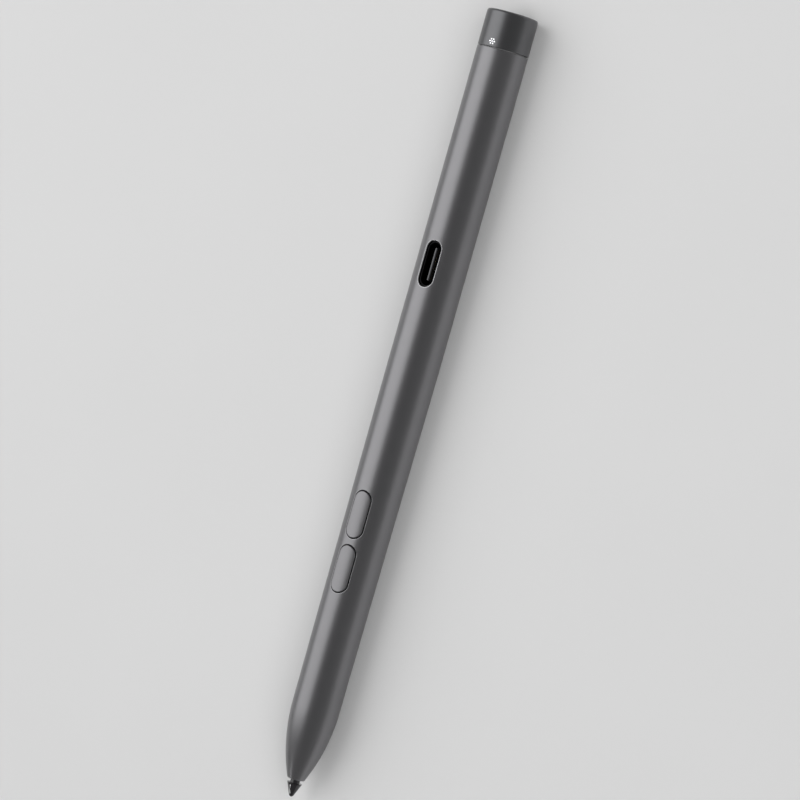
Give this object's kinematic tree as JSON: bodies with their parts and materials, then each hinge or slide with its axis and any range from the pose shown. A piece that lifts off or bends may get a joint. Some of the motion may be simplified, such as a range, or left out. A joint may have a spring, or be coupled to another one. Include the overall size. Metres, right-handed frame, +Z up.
{
  "type": "stylus pen",
  "caption": "Rechargeable tablet stylus pen: slim tapering aluminium barrel with a flat back, press buttons, charging port, status light, clicking tail and a pull-out nib.",
  "frame": {"origin": "middle of the pen's length and width, on the surface that its flat lies on", "axes": "+X along the pen towards its tail (the nib points to -X), +Z up, out of the side with the buttons, port and status light; the small sound hole faces +Y"},
  "size_m": [0.156, 0.01, 0.0096],
  "materials": {
    "barrel_aluminium": "satin bead-blasted anodised, dark grey",
    "tail_shell": "satin dark grey metallic lacquer",
    "light_guide": "milky white, flush",
    "nib_polymer": "fine matt, dark grey",
    "black_polymer": "moulded, fine texture",
    "plunger_polymer": "moulded, natural",
    "port_shell": "black nickel plate",
    "bright_steel": "drawn or stamped, bare",
    "sound_gauze": "blackened woven wire",
    "copper": "bare copper",
    "gilt_contact": "gold flash",
    "nickel_tab": "rolled strip",
    "black_rubber": "moulded, matt",
    "circuit_board": "green solder mask",
    "chip_black": "moulded epoxy",
    "chip_ceramic": "fired ceramic with tinned ends",
    "battery_can": "drawn can under clear film",
    "flex_film": "amber polyimide film",
    "magnet_nickel": "nickel plate",
    "led_body": "clear moulded"
  },
  "bodies": {
    "pen_body": {"barrel": "barrel_aluminium", "nose_bush": "nib_polymer", "tip_guide": "black_polymer", "front_chassis": "black_polymer", "rear_chassis": "black_polymer", "tail_frame": "black_polymer", "usb_tongue": "black_polymer", "usb_shell": "port_shell", "nib_spring": "bright_steel", "board_screws": "bright_steel", "lower_switch": "bright_steel", "upper_switch": "bright_steel", "tail_switch": "bright_steel", "radio_module": "bright_steel", "sound_mesh": "sound_gauze", "tilt_electrode": "copper", "usb_contacts": "gilt_contact", "battery_tabs": "nickel_tab", "sensor_pad": "black_rubber", "port_seal": "black_rubber", "sounder_gasket": "black_rubber", "battery_foam": "black_rubber", "front_board": "circuit_board", "rear_board": "circuit_board", "tail_board": "circuit_board", "controller_chip": "chip_black", "charger_chip": "chip_black", "sounder": "chip_black", "force_sensor": "chip_black", "front_components": "chip_ceramic", "rear_components": "chip_ceramic", "chip_antenna": "chip_ceramic", "battery_cell": "battery_can", "flex_cable": "flex_film", "front_magnets": "magnet_nickel", "rear_magnets": "magnet_nickel", "status_led": "led_body"},
    "tail_button": {"tail_button": "tail_shell", "indicator_lens": "light_guide", "tail_switch_plunger": "plunger_polymer"},
    "upper_button": {"upper_button": "barrel_aluminium", "upper_switch_plunger": "plunger_polymer"},
    "lower_button": {"lower_button": "barrel_aluminium", "lower_switch_plunger": "plunger_polymer"},
    "nib_holder": {"nib_holder": "black_polymer"},
    "nib": {"nib": "nib_polymer"}
  },
  "joints": [
    {"name": "tail_button_press", "type": "slide", "parent": "pen_body", "child": "tail_button", "axis": [-1, 0, 0], "range_m": [0, 0.00015], "stiffness_N_per_m": 8000},
    {"name": "upper_button_press", "type": "slide", "parent": "pen_body", "child": "upper_button", "axis": [0, 0, -1], "range_m": [0, 0.00025], "stiffness_N_per_m": 5000},
    {"name": "lower_button_press", "type": "slide", "parent": "pen_body", "child": "lower_button", "axis": [0, 0, -1], "range_m": [0, 0.00025], "stiffness_N_per_m": 5000},
    {"name": "nib_press", "type": "slide", "parent": "pen_body", "child": "nib_holder", "axis": [1, 0, 0], "range_m": [0, 0.00025], "stiffness_N_per_m": 6000, "deforming": ["nib_spring"]},
    {"name": "nib_pull", "type": "slide", "parent": "nib_holder", "child": "nib", "axis": [-1, 0, 0], "range_m": [0, 0.014]}
  ]
}
